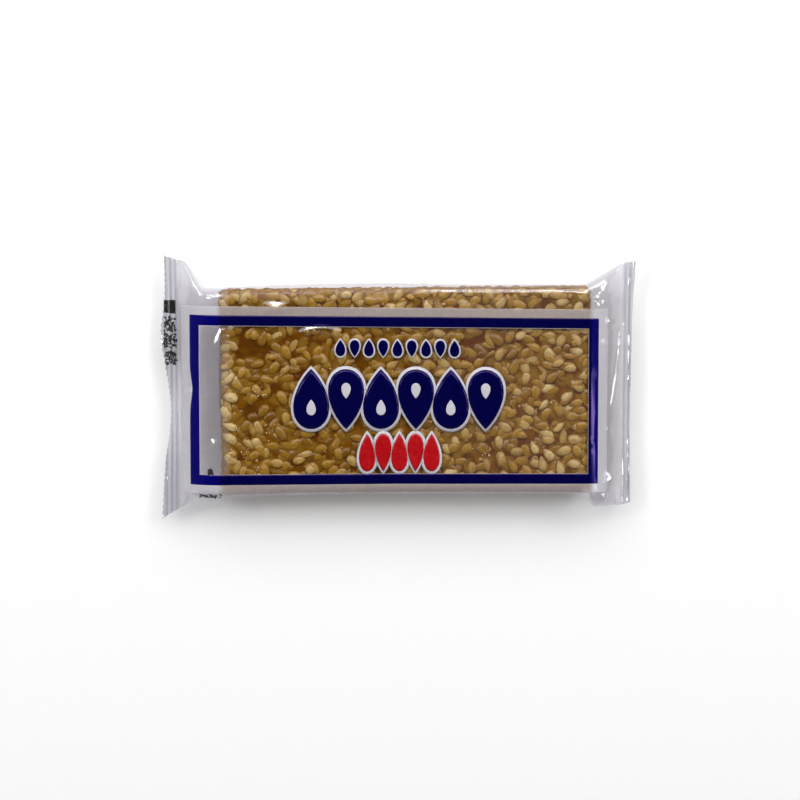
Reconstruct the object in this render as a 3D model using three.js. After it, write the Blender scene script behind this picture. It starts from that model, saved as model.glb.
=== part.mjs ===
// A flow-wrapped pack of sesame brittle slices, lying on its back with the window face up.
// Millimetres. X runs along the pack, Y across it, Z up from the surface that it lies on.
// The origin is under the middle of the pack, on that surface.
// The pack is shut, so it is one solid: the film's outer form, full where the slices hold it
// apart and pinched flat into a crimped seal at each end.

import * as THREE from 'three';
import { mergeVertices } from 'three/addons/utils/BufferGeometryUtils.js';

const { clamp, lerp, smoothstep } = THREE.MathUtils;

// The filled middle
const BODY_HALF_WIDTH = 22.0;
const BODY_THICKNESS = 10.6;
const EDGE_RADIUS = 2.4;
const SLICES_LEFT = -38.4;
const SLICES_RIGHT = 41.4;
const SHOULDER_POWER = 1.5;

// The left end of the body sits a little further down the pack's width than the right end
const LEFT_SWAY = 1.0;

// Between these the pack's section stays the same
const MIDDLE_LEFT = -38.4;
const MIDDLE_RIGHT = 38.6;

// The end seals. A root is the inner edge of a seal, where the two films meet.
const LEFT_ROOT = -46.3;
const RIGHT_ROOT = 47.6;
const SEAL_THICKNESS = 0.4;
const RIB_HEIGHT = 0.16;

// The cut edge of each seal, as x = middle + lean v + bow v^2 for v from -1 to 1 across the pack,
// with a soft ripple at each place where the seal buckles in or out
const LEFT_EDGE = {
  middle: -49.45,
  lean: 0.4,
  bow: -0.55,
  ripples: [
    { at: 0.4, out: -1.11, width: 0.22 },
    { at: -0.2, out: 1.1, width: 0.28 },
  ],
};
const RIGHT_EDGE = { middle: 49.7, lean: 0.35, bow: 0.45, ripples: [] };

// How far the cut edges hang below the middle of the pack, and how much less at their ends
const LEFT_DROOP = 2.6;
const RIGHT_DROOP = 1.6;
const DROOP_EASE = 0.7;

// Where each corner of the film starts to flare out to its seal, where it is done, how far it
// then reaches across, how far it reaches at the cut edge, and how soft the curve is
const FLARES = {
  left: {
    upper: { from: -40.8, to: -45.8, root: 27.2, tip: 28.2, softness: 1.0 },
    lower: { from: -42.4, to: -46.3, root: 25.6, tip: 28.2, softness: 0.6 },
  },
  right: {
    upper: { from: 39.6, to: 48.0, root: 26.7, tip: 26.9, softness: 0.1 },
    lower: { from: 38.8, to: 42.0, root: 25.1, tip: 24.6, softness: 1.0 },
  },
};

// The lengthwise back seam, a flap of doubled film folded flat under the pack
const FLAP_THICKNESS = 0.4;
const FLAP_MIDDLE = 0.03;
const FLAP_HALF_SHARE = 0.26;

// How finely the film is divided: columns along the pack in its five zones, rows across it and
// layers up its long sides
const ZONE_COLUMNS = { leftSeal: 10, leftEnd: 10, middle: 8, rightEnd: 12, rightSeal: 8 };
const ROWS = 28;
const LAYERS = 4;

const MIDDLE_HEIGHT = FLAP_THICKNESS + BODY_THICKNESS / 2;
const COLUMNS = Object.values(ZONE_COLUMNS).reduce((sum, count) => sum + count, 0);

/** The cut edge of a seal at v across the pack. */
function cutEdge(edge, v) {
  const plain = edge.middle + edge.lean * v + edge.bow * v * v;
  return edge.ripples.reduce(
    (x, ripple) => x + ripple.out * Math.exp(-(((v - ripple.at) / ripple.width) ** 2)),
    plain,
  );
}

/** Where a column of the film lies: its x, and how far it is out along a left or right seal. */
function columnPlace(column, v) {
  const { leftSeal, leftEnd, middle, rightEnd, rightSeal } = ZONE_COLUMNS;
  let step = column;
  if (step <= leftSeal) {
    const out = 1 - step / leftSeal;
    return { x: lerp(LEFT_ROOT, cutEdge(LEFT_EDGE, v), out), leftOut: out, rightOut: 0 };
  }
  step -= leftSeal;
  if (step <= leftEnd) {
    return { x: lerp(LEFT_ROOT, MIDDLE_LEFT, step / leftEnd), leftOut: 0, rightOut: 0 };
  }
  step -= leftEnd;
  if (step <= middle) {
    return { x: lerp(MIDDLE_LEFT, MIDDLE_RIGHT, step / middle), leftOut: 0, rightOut: 0 };
  }
  step -= middle;
  if (step <= rightEnd) {
    return { x: lerp(MIDDLE_RIGHT, RIGHT_ROOT, step / rightEnd), leftOut: 0, rightOut: 0 };
  }
  const out = (step - rightEnd) / rightSeal;
  return { x: lerp(RIGHT_ROOT, cutEdge(RIGHT_EDGE, v), out), leftOut: 0, rightOut: out };
}

/** How full the pack is at x: 0 at a seal root and 1 where the slices hold the films apart. */
function fullness(x) {
  const left = clamp((x - LEFT_ROOT) / (SLICES_LEFT - LEFT_ROOT), 0, 1);
  const right = clamp((RIGHT_ROOT - x) / (RIGHT_ROOT - SLICES_RIGHT), 0, 1);
  return 1 - (1 - Math.min(left, right)) ** SHOULDER_POWER;
}

/** How far the body's section is moved across the pack at x. */
function sway(x) {
  return -LEFT_SWAY * Math.min(1, (Math.min(x, 0) / MIDDLE_LEFT) ** 2);
}

/** How far the film reaches to one long side, flaring from the body's reach to a seal's. */
function sideReach(x, out, bodyReach, flare) {
  const way = clamp((x - flare.from) / (flare.to - flare.from), 0, 1);
  const share = lerp(way, smoothstep(way, 0, 1), flare.softness);
  return lerp(lerp(bodyReach, flare.root, share), flare.tip, out);
}

/** The point of a section's rounded rectangle that stands for v and w on a square's outline. */
function roundedPoint(v, w, halfWidth, halfHeight) {
  const radius = Math.min(EDGE_RADIUS, halfHeight);
  const y = v * halfWidth;
  const z = w * halfHeight;
  const coreY = clamp(y, radius - halfWidth, halfWidth - radius);
  const coreZ = clamp(z, radius - halfHeight, halfHeight - radius);
  const away = new THREE.Vector2(y - coreY, z - coreZ).setLength(radius);
  return { y: coreY + away.x, z: coreZ + away.y };
}

/** The film's place for one vertex of a box whose sides run from -1 to 1. */
function filmPoint(u, v, w) {
  const column = Math.round(((u + 1) / 2) * COLUMNS);
  const { x, leftOut, rightOut } = columnPlace(column, v);
  const flares = x < 0 ? FLARES.left : FLARES.right;
  const out = leftOut + rightOut;
  const upper = sideReach(x, out, BODY_HALF_WIDTH + sway(x), flares.upper);
  const lower = sideReach(x, out, BODY_HALF_WIDTH - sway(x), flares.lower);
  const halfWidth = (upper + lower) / 2;
  const halfHeight = lerp(SEAL_THICKNESS, BODY_THICKNESS, fullness(x)) / 2;
  const { y, z } = roundedPoint(v, w, halfWidth, halfHeight);

  const droop = (leftOut * LEFT_DROOP + rightOut * RIGHT_DROOP) * (1 - DROOP_EASE * v * v);
  const rib = out > 0 ? RIB_HEIGHT * Math.cos(Math.PI * column) : 0;
  const onFlap = w === -1 && Math.abs(v - FLAP_MIDDLE) < FLAP_HALF_SHARE;
  const height = MIDDLE_HEIGHT + z - droop + rib - (onFlap ? FLAP_THICKNESS : 0);
  return new THREE.Vector3(x, y + (upper - lower) / 2, height);
}

/** The whole pack: a finely divided box with each vertex moved to its place on the film. */
function packGeometry() {
  const box = new THREE.BoxGeometry(2, 2, 2, COLUMNS, ROWS, LAYERS);
  box.deleteAttribute('normal');
  box.deleteAttribute('uv');
  const film = mergeVertices(box);
  const places = film.getAttribute('position');
  for (let i = 0; i < places.count; i += 1) {
    const place = filmPoint(places.getX(i), places.getY(i), places.getZ(i));
    places.setXYZ(i, place.x, place.y, place.z);
  }
  film.computeVertexNormals();
  return film;
}

// The window shows amber sesame brittle through glossy film.
const windowFilm = new THREE.MeshStandardMaterial({
  color: 0x86683a,
  roughness: 0.25,
  metalness: 0.0,
});

const pack = new THREE.Mesh(packGeometry(), windowFilm);
pack.name = 'flow_pack';

const model = new THREE.Group();
model.add(pack);

export default model;
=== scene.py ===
"""Dress a flow-wrapped pack of sesame brittle slices: its film, its print and the slices inside.

Sizes are in millimetres and become metres when a mesh is stored. X runs along the pack, Y across
it and Z up from the surface that it lies on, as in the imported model.
"""

import itertools
import logging
import math
from collections.abc import Callable, Iterable
from dataclasses import dataclass, field
from enum import Enum

import bmesh
import bpy
import numpy as np
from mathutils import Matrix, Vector, noise


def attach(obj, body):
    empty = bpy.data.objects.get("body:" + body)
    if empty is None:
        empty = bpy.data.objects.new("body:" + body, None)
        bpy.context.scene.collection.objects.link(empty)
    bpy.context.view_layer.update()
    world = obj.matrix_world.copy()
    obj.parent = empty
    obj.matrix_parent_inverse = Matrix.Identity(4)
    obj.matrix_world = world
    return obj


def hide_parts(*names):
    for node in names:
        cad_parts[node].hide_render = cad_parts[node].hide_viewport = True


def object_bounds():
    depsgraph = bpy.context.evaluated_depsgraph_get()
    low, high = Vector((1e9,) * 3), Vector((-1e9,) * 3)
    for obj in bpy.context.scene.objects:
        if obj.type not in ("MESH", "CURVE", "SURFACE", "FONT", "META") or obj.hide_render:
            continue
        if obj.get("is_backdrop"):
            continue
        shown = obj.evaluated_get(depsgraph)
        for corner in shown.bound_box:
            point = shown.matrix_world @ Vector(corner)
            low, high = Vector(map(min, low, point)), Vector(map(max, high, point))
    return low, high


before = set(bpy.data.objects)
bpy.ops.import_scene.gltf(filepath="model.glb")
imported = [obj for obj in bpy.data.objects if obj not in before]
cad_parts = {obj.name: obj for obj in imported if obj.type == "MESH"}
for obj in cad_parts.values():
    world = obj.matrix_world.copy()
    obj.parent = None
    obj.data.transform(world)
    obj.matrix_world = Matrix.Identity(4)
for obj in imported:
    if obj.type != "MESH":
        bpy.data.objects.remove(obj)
CAD_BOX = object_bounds()

MM = 0.001
BODY = "root"
PACK_NODE = "flow_pack"

# Differences in a shape of unit size that are only rounding
SAME = 1e-4
# A length that keeps a division by nothing from failing
TINY = 1e-9

# The Mix node's sockets for colours, whose names its other sockets share
MIX_SHARE, MIX_FROM, MIX_TO, MIXED = 0, 6, 7, 2

# What the meshes tell their materials, point by point
# Where seeds lie just below the sugar, and the painted glare at the slices' left end: both pale the sugar
SEEDS_BELOW_AND_GLARE = "seeds_below_and_glare"
SEED_MARKS = "seed_marks"
FILM_MARKS = "film_marks"
BACKLIT = "backlit"

Array = np.ndarray
log = logging.getLogger("sesame_pack")


class Slot(Enum):
    """The record's material slots."""

    FILM = "clear_film"
    BRITTLE = "sesame_brittle"
    PRINT = "film_print"


class Face(Enum):
    """The broad faces of a slice, by the way that they look."""

    TOP = 1
    BOTTOM = -1


# Helpers for meshes and materials


def linear(hex_colour: str) -> tuple[float, float, float, float]:
    """Turn an sRGB hex colour into linear light, by the curve of the sRGB standard.

    Args:
        hex_colour: Six hex digits after a hash.

    Returns:
        Linear red, green and blue with an alpha of 1.
    """
    channels = [int(hex_colour[i : i + 2], 16) / 255 for i in (1, 3, 5)]
    light = [c / 12.92 if c <= 0.04045 else ((c + 0.055) / 1.055) ** 2.4 for c in channels]
    return (*light, 1.0)


def add_node(
    tree: bpy.types.NodeTree,
    kind: str,
    inputs: dict[str | int, object] | None = None,
    stops: dict[float, str] | None = None,
    **settings: object,
) -> bpy.types.Node:
    """Add a shader node, with its settings made and its inputs set or linked.

    Args:
        tree: The material's node tree.
        kind: The node's type after "ShaderNode".
        inputs: For each input socket a value, an output to link from, or a node whose first
            output is linked.
        stops: A colour ramp's hex colours by their places.
        settings: Attributes of the node.

    Returns:
        The new node.
    """
    node = tree.nodes.new(f"ShaderNode{kind}")
    for name, value in settings.items():
        setattr(node, name, value)
    for key, value in (inputs or {}).items():
        if isinstance(value, bpy.types.Node):
            value = value.outputs[0]
        if isinstance(value, bpy.types.NodeSocket):
            tree.links.new(value, node.inputs[key])
        else:
            node.inputs[key].default_value = value
    if stops is not None:
        elements = node.color_ramp.elements
        while len(elements) < len(stops):
            elements.new(0.5)
        for element, (place, hex_colour) in zip(elements, sorted(stops.items())):
            element.position = place
            element.color = linear(hex_colour)
    return node


def spotted_material(
    name: str, spot_mm: float, detail: float
) -> tuple[bpy.types.Material, bpy.types.NodeTree, bpy.types.Node]:
    """Start a material with a pattern of soft random spots.

    Args:
        name: The material's name.
        spot_mm: The spots' size in millimetres.
        detail: How many levels of finer spots they hold.

    Returns:
        The material, its node tree and the pattern.
    """
    material = bpy.data.materials.new(name)
    material.use_nodes = True
    tree = material.node_tree
    tree.nodes.clear()
    place = add_node(tree, "TexCoord").outputs["Object"]
    scale = 1 / (spot_mm * MM)
    return material, tree, add_node(tree, "TexNoise", {"Vector": place, "Scale": scale, "Detail": detail})


def finished(material: bpy.types.Material, shader: bpy.types.Node) -> bpy.types.Material:
    """Give a material its shader."""
    add_node(material.node_tree, "OutputMaterial", {"Surface": shader})
    return material


def gridded_box(columns: int, rows: int, layers: int) -> bmesh.types.BMesh:
    """Make a box whose sides run from -1 to 1, divided evenly along each axis.

    Args:
        columns: How many parts along X.
        rows: How many parts along Y.
        layers: How many parts along Z.

    Returns:
        The box.
    """
    box = bmesh.new()
    bmesh.ops.create_cube(box, size=2.0)
    for axis, parts in enumerate((columns, rows, layers)):
        along = [edge for edge in box.edges if abs(edge.verts[0].co[axis] - edge.verts[1].co[axis]) > SAME]
        bmesh.ops.subdivide_edges(box, edges=along, cuts=parts - 1, use_grid_fill=True)
    return box


def linked(name: str, mesh: bpy.types.Mesh) -> bpy.types.Object:
    """Put a mesh into the scene as a smooth piece.

    Args:
        name: The piece's name.
        mesh: Its mesh, in metres.

    Returns:
        The piece.
    """
    mesh.shade_smooth()
    mesh.update()
    piece = bpy.data.objects.new(name, mesh)
    bpy.context.scene.collection.objects.link(piece)
    return piece


def stored(
    name: str, shape: bmesh.types.BMesh, place: Callable[[Array], Array] | None = None
) -> bpy.types.Object:
    """Store a shape as a piece.

    Args:
        name: The piece's name.
        shape: The shape in millimetres, which is used up.
        place: Moves the shape's points to their places, if they aren't there yet.

    Returns:
        The piece.
    """
    mesh = bpy.data.meshes.new(name)
    shape.to_mesh(mesh)
    shape.free()
    points = np.empty(len(mesh.vertices) * 3)
    mesh.vertices.foreach_get("co", points)
    points = points.reshape(-1, 3)
    if place is not None:
        points = place(points)
    mesh.vertices.foreach_set("co", (points * MM).ravel())
    return linked(name, mesh)


def mark_points(piece: bpy.types.Object, name: str, *marks: Array) -> None:
    """Note what a material reads at each point of a piece.

    Args:
        piece: The piece.
        name: The attribute's name.
        marks: One value for each point, or three that make a colour.
    """
    if len(marks) == 1:
        kind, key, values = "FLOAT", "value", marks[0]
    else:
        kind, key = "FLOAT_COLOR", "color"
        values = np.stack([*marks, np.ones_like(marks[0])], axis=-1)
    attribute = piece.data.attributes.new(name, kind, "POINT")
    attribute.data.foreach_set(key, values.ravel())


def settle(piece: bpy.types.Object, material: bpy.types.Material, slot: Slot) -> bpy.types.Object:
    """Dress a piece and fix it to the pack.

    Args:
        piece: The piece.
        material: Its finish.
        slot: The record's slot that the finish belongs to; not used.

    Returns:
        The piece.
    """
    piece.data.materials.append(material)
    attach(piece, BODY)
    return piece


def smoothstep(way: Array) -> Array:
    """Ease a way from 0 to 1 in and out."""
    return way * way * (3 - 2 * way)


def share(way: Array) -> Array:
    """Hold a way between 0 and 1."""
    return np.clip(way, 0, 1)


def lerp(low: Array | float, high: Array | float, way: Array | float) -> Array:
    """Go the given part of the way from one value to another."""
    return low + (high - low) * way


def bell(way: Array) -> Array:
    """Give a soft bump of height 1, which has nearly gone two steps from its middle."""
    return np.exp(-(way**2))


# Finishes


@dataclass(frozen=True)
class ClearFilm:
    """Clear BOPP film: glossy and nearly colourless, a little grey and milky where it is crumpled."""

    name: str = "BOPP film, clear"
    tint: str = "#f3f2f5"
    seal_tint: str = "#dbdadf"
    milk_colour: str = "#dfe0ea"
    crumpled_milk: float = 0.035
    milk_clouds: tuple[float, float] = (0.5, 1.5)
    milk_roughness: float = 0.35
    roughness: float = 0.1
    dull_roughness: float = 0.5
    dull_gloss: float = 0.25
    facing_gloss: float = 0.1
    grazing_gloss: float = 0.9
    scuff_mm: float = 2.5
    scuff_depth_mm: float = 0.05
    scuff_strength: float = 0.12

    def build(self) -> bpy.types.Material:
        """Make the film's material.

        Returns:
            The material.
        """
        material, tree, scuffs = spotted_material(self.name, self.scuff_mm, detail=3.0)
        dents = {"Height": scuffs, "Strength": self.scuff_strength, "Distance": self.scuff_depth_mm * MM}
        bump = add_node(tree, "Bump", dents)
        marks = add_node(tree, "Attribute", attribute_name=FILM_MARKS)
        crumpled, sealed_with_shade, dull = add_node(tree, "SeparateColor", {"Color": marks}).outputs
        # The seals' tint, striped with painted shade along the crimps
        tints = {MIX_SHARE: sealed_with_shade, MIX_FROM: linear(self.tint), MIX_TO: linear(self.seal_tint)}
        tint = add_node(tree, "Mix", tints, data_type="RGBA").outputs[MIXED]
        clear = add_node(tree, "BsdfTransparent", {"Color": tint})
        rough = add_node(
            tree, "MapRange", {"Value": dull, "To Min": self.roughness, "To Max": self.dull_roughness}
        )
        gloss = add_node(
            tree, "BsdfGlossy", {"Color": linear("#ffffff"), "Roughness": rough, "Normal": bump}
        )
        polish = add_node(tree, "MapRange", {"Value": dull, "To Min": 1.0, "To Max": self.dull_gloss})
        clean = self.mirrored(tree, bump)
        mirrored = add_node(tree, "Math", {0: clean, 1: polish}, operation="MULTIPLY")
        shiny = add_node(tree, "MixShader", {0: mirrored, 1: clear, 2: gloss})
        milk = add_node(
            tree,
            "BsdfPrincipled",
            {"Base Color": linear(self.milk_colour), "Roughness": self.milk_roughness, "Normal": bump},
        )
        haze = add_node(tree, "MapRange", {"Value": crumpled, "To Max": self.crumpled_milk}, clamp=False)
        thinnest, thickest = self.milk_clouds
        cloud = add_node(tree, "MapRange", {"Value": scuffs, "To Min": thinnest, "To Max": thickest})
        milky = add_node(tree, "Math", {0: haze, 1: cloud}, operation="MULTIPLY")
        return finished(material, add_node(tree, "MixShader", {0: milky, 1: shiny, 2: milk}))

    def mirrored(self, tree: bpy.types.NodeTree, bump: bpy.types.Node) -> bpy.types.Node:
        """Find the share of light that thin film mirrors, alike from both of its sides.

        Args:
            tree: The material's node tree.
            bump: The film's normal.

        Returns:
            The share, by Schlick's rule, whose power is five.
        """
        slant = add_node(tree, "LayerWeight", {"Blend": 0.5, "Normal": bump}).outputs["Facing"]
        rise = add_node(tree, "Math", {0: slant, 1: 5.0}, operation="POWER")
        return add_node(
            tree, "MapRange", {"Value": rise, "To Min": self.facing_gloss, "To Max": self.grazing_gloss}
        )


@dataclass(frozen=True)
class FilmInk:
    """Flexographic ink on film: a flat strong colour under the film's gloss, a little uneven."""

    name: str
    colour: str
    worn_colour: str
    backlit: str | None = None
    opacity: float = 1.0
    sheen: str = "#ffffff"
    roughness: float = 0.09
    specular: float = 0.25
    ior: float = 1.5
    grain_mm: float = 0.8
    wear: tuple[float, float] = (0.35, 0.75)

    def build(self) -> bpy.types.Material:
        """Make the ink's material.

        Returns:
            The material.
        """
        material, tree, grain = spotted_material(self.name, self.grain_mm, detail=4.0)
        stops = dict(zip(self.wear, (self.colour, self.worn_colour)))
        colour = add_node(tree, "ValToRGB", {"Fac": grain}, stops)
        if self.backlit is not None:
            behind = add_node(tree, "Attribute", attribute_name=BACKLIT).outputs["Fac"]
            lit = {MIX_SHARE: behind, MIX_FROM: colour, MIX_TO: linear(self.backlit)}
            colour = add_node(tree, "Mix", lit, data_type="RGBA").outputs[MIXED]
        gloss = {"Roughness": self.roughness, "Specular IOR Level": self.specular, "IOR": self.ior}
        gloss["Specular Tint"] = linear(self.sheen)
        surface = add_node(tree, "BsdfPrincipled", {"Base Color": colour, **gloss})
        if self.opacity < 1:
            clear = add_node(tree, "BsdfTransparent")
            surface = add_node(tree, "MixShader", {0: self.opacity, 1: clear, 2: surface})
        return finished(material, surface)


@dataclass(frozen=True)
class SugarGlass:
    """Boiled sugar set hard: glassy amber, browner in spots, paler where seeds lie just below and under
    painted glare at the slices' left end.
    """

    name: str = "Sugar glass, amber"
    scorched: str = "#703604"
    brown: str = "#683d00"
    amber: str = "#8b5600"
    pale: str = "#946c1c"
    roughness: float = 0.12
    specular: float = 0.35
    ior: float = 1.5
    cloud_mm: float = 6.0
    clouds: tuple[float, float, float] = (0.37, 0.46, 0.6)
    grit_mm: float = 0.7
    grit_depth_mm: float = 0.2
    grit_strength: float = 0.8

    def build(self) -> bpy.types.Material:
        """Make the sugar's material.

        Returns:
            The material.
        """
        material, tree, cloud = spotted_material(self.name, self.cloud_mm, detail=3.0)
        stops = dict(zip(self.clouds, (self.scorched, self.brown, self.amber)))
        depth = add_node(tree, "ValToRGB", {"Fac": cloud}, stops)
        # Seeds just below and the painted glare at the left end both pale the sugar
        below = add_node(tree, "Attribute", attribute_name=SEEDS_BELOW_AND_GLARE).outputs["Fac"]
        paling = {MIX_SHARE: below, MIX_FROM: depth, MIX_TO: linear(self.pale)}
        colour = add_node(tree, "Mix", paling, data_type="RGBA").outputs[MIXED]
        place = add_node(tree, "TexCoord").outputs["Object"]
        grit = add_node(
            tree, "TexNoise", {"Vector": place, "Scale": 1 / (self.grit_mm * MM), "Detail": 2.0}
        )
        dents = {"Height": grit, "Strength": self.grit_strength, "Distance": self.grit_depth_mm * MM}
        bump = add_node(tree, "Bump", dents)
        gloss = {"Roughness": self.roughness, "Specular IOR Level": self.specular, "IOR": self.ior}
        sugar = add_node(tree, "BsdfPrincipled", {"Base Color": colour, "Normal": bump, **gloss})
        return finished(material, sugar)


@dataclass(frozen=True)
class SeedCoat:
    """Hulled sesame: pale cream to tan, browner at the tip, wet-looking under a skin of sugar."""

    name: str = "Hulled sesame seeds, sugar-coated"
    glazed: str = "#825604"
    tan: str = "#bd902c"
    cream: str = "#ecd08a"
    tip: str = "#966a1c"
    tip_from: float = 0.55
    tip_browning: float = 0.7
    flank: tuple[float, float] = (0.95, 0.5)
    flank_browning: float = 0.95
    mottle_mm: float = 0.5
    mottle: tuple[float, float] = (0.4, 0.7)
    mottle_browning: float = 0.4
    mottle_depth_mm: float = 0.12
    mottle_strength: float = 0.5
    roughness: float = 0.24
    specular: float = 0.35
    ior: float = 1.47

    def build(self) -> bpy.types.Material:
        """Make the seeds' material.

        Returns:
            The material.
        """
        material, tree, mottle = spotted_material(self.name, self.mottle_mm, detail=2.0)
        marks = add_node(tree, "Attribute", attribute_name=SEED_MARKS)
        tone, along, height = add_node(tree, "SeparateColor", {"Color": marks}).outputs
        stops = {0.0: self.glazed, 0.5: self.tan, 1.0: self.cream}
        coat = add_node(tree, "ValToRGB", {"Fac": tone}, stops)
        at_tip = add_node(
            tree, "MapRange", {"Value": along, "From Min": self.tip_from, "To Max": self.tip_browning}
        )
        tipping = {MIX_SHARE: at_tip, MIX_FROM: coat, MIX_TO: linear(self.tip)}
        tipped = add_node(tree, "Mix", tipping, data_type="RGBA").outputs[MIXED]
        browning = []
        for value, (start, end), most in (
            (height, self.flank, self.flank_browning),
            (mottle, self.mottle, self.mottle_browning),
        ):
            span = {"Value": value, "From Min": start, "From Max": end, "To Max": most}
            browning.append(add_node(tree, "MapRange", span))
        browned = add_node(tree, "Math", dict(enumerate(browning)), operation="MAXIMUM")
        glazing = {MIX_SHARE: browned, MIX_FROM: tipped, MIX_TO: linear(self.glazed)}
        colour = add_node(tree, "Mix", glazing, data_type="RGBA").outputs[MIXED]
        depth = self.mottle_depth_mm * MM
        dents = {"Height": mottle, "Strength": self.mottle_strength, "Distance": depth}
        bump = add_node(tree, "Bump", dents)
        gloss = {"Roughness": self.roughness, "Specular IOR Level": self.specular, "IOR": self.ior}
        seed = add_node(tree, "BsdfPrincipled", {"Base Color": colour, "Normal": bump, **gloss})
        return finished(material, seed)


@dataclass(frozen=True)
class SugarCrumb:
    """Crumbs of boiled sugar: small, hard and shiny, orange-brown, so that they glint, with pale gold
    patches of painted sparkle.
    """

    name: str = "Sugar crumbs, caramel"
    brown: str = "#b87a38"
    sparkle_gold: str = "#ecd498"
    patch_mm: float = 3.0
    patches: tuple[float, float] = (0.4, 0.6)
    roughness: float = 0.06
    ior: float = 1.5

    def build(self) -> bpy.types.Material:
        """Make the crumbs' material.

        Returns:
            The material.
        """
        material, tree, patch = spotted_material(self.name, self.patch_mm, detail=2.0)
        # The pale gold patches are painted sparkle on the real crumbs
        stops = dict(zip(self.patches, (self.brown, self.sparkle_gold)))
        colour = add_node(tree, "ValToRGB", {"Fac": patch}, stops)
        gloss = {"Base Color": colour, "Roughness": self.roughness, "IOR": self.ior}
        return finished(material, add_node(tree, "BsdfPrincipled", gloss))


@dataclass(frozen=True)
class StudioPaper:
    """Background paper: matt, nearly white, with a faint tooth, on a table that glows a little."""

    name: str = "Background paper, matt white"
    shade: str = "#f6f6f6"
    colour: str = "#fafafa"
    tooth_mm: float = 0.6
    tooth: tuple[float, float] = (0.3, 0.7)
    roughness: float = 0.9
    glow: float = 0.1

    def build(self) -> bpy.types.Material:
        """Make the paper's material.

        Returns:
            The material.
        """
        material, tree, tooth = spotted_material(self.name, self.tooth_mm, detail=2.0)
        stops = dict(zip(self.tooth, (self.shade, self.colour)))
        colour = add_node(tree, "ValToRGB", {"Fac": tooth}, stops)
        matt = {"Base Color": colour, "Roughness": self.roughness}
        glow = {"Emission Color": colour, "Emission Strength": self.glow}
        return finished(material, add_node(tree, "BsdfPrincipled", {**matt, **glow}))


# The film's form


@dataclass(frozen=True)
class Ripple:
    """A soft buckle of a seal's cut edge, by its place across the pack."""

    at: float
    out: float
    width: float


@dataclass(frozen=True)
class CutEdge:
    """The cut edge of a seal, as its distance along the pack for v from -1 to 1 across it."""

    middle: float
    lean: float
    bow: float
    ripples: tuple[Ripple, ...] = ()
    tooth: float = 0.0
    teeth: int = 42

    def at(self, v: Array) -> Array:
        """Find the edge without its teeth.

        Args:
            v: Places across the pack.

        Returns:
            The edge's X there.
        """
        edge = self.middle + self.lean * v + self.bow * v * v
        for ripple in self.ripples:
            edge = edge + ripple.out * bell((v - ripple.at) / ripple.width)
        return edge

    def notch(self, v: Array) -> Array:
        """Find how far the zigzag cut stands off the plain edge along X, at places across it."""
        turn = (v + 1) / 2 * self.teeth
        return self.tooth * (2 * np.abs(2 * (turn - np.floor(turn + 0.5))) - 1)


@dataclass(frozen=True)
class Flare:
    """One corner of the film, where its long side swings out to a seal."""

    start: float
    end: float
    root: float
    tip: float
    softness: float

    def reach(self, x: Array, out: Array, body_reach: Array) -> Array:
        """Find how far the film reaches to this side.

        Args:
            x: Places along the pack.
            out: How far each is out along the seal, from 0 at its root to 1 at its cut edge.
            body_reach: How far the body reaches there.

        Returns:
            The reach across the pack.
        """
        way = share((x - self.start) / (self.end - self.start))
        swung = lerp(way, smoothstep(way), self.softness)
        return lerp(lerp(body_reach, self.root, swung), self.tip, out)


@dataclass(frozen=True)
class Crease:
    """A fold in the film along a line of points, up or down, with flat flanks like a tent's."""

    points: tuple[tuple[float, float], ...]
    height: float
    width: float
    taper: float = 1.5
    end_height: float | None = None
    sharpness: float = 0.15

    def lift(self, x: Array, y: Array) -> Array:
        """Find how far the fold lifts the film.

        Args:
            x: Places along the pack.
            y: Places across it.

        Returns:
            The lift at each place.
        """
        away, along = np.full_like(x, np.inf), np.zeros_like(x)
        legs = list(zip(self.points, self.points[1:]))
        for i, ((from_x, from_y), (to_x, to_y)) in enumerate(legs):
            run_x, run_y = to_x - from_x, to_y - from_y
            way = ((x - from_x) * run_x + (y - from_y) * run_y) / (run_x**2 + run_y**2)
            way = share(way)
            off = np.hypot(x - from_x - way * run_x, y - from_y - way * run_y)
            along = np.where(off < away, (i + way) / len(legs), along)
            away = np.minimum(away, off)
        ends = [np.hypot(x - end_x, y - end_y) for end_x, end_y in (self.points[0], self.points[-1])]
        fade = smoothstep(share(np.minimum(*ends) / self.taper))
        bend = self.sharpness * self.width
        tent = share(1 - (np.hypot(away, bend) - bend) / self.width)
        end_height = self.height if self.end_height is None else self.end_height
        return lerp(self.height, end_height, along) * fade * tent


@dataclass(frozen=True)
class Peak:
    """A small blunt cone pushed up in the film."""

    x: float
    y: float
    height: float
    width: float
    bluntness: float = 0.15

    def lift(self, x: Array, y: Array) -> Array:
        """Find how far the peak lifts the film.

        Args:
            x: Places along the pack.
            y: Places across it.

        Returns:
            The lift at each place.
        """
        away = np.hypot(x - self.x, y - self.y)
        blunt = self.bluntness * self.width
        return self.height * share(1 - (np.hypot(away, blunt) - blunt) / self.width)


@dataclass(frozen=True)
class Wave:
    """A wave: its height, how far it runs along and across for each radian, and where it starts."""

    height: float
    along: float
    across: float
    start: float

    def at(self, x: Array, y: Array) -> Array:
        """Find the wave's height at places along and across."""
        return self.height * np.sin(x / self.along + y / self.across + self.start)


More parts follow.
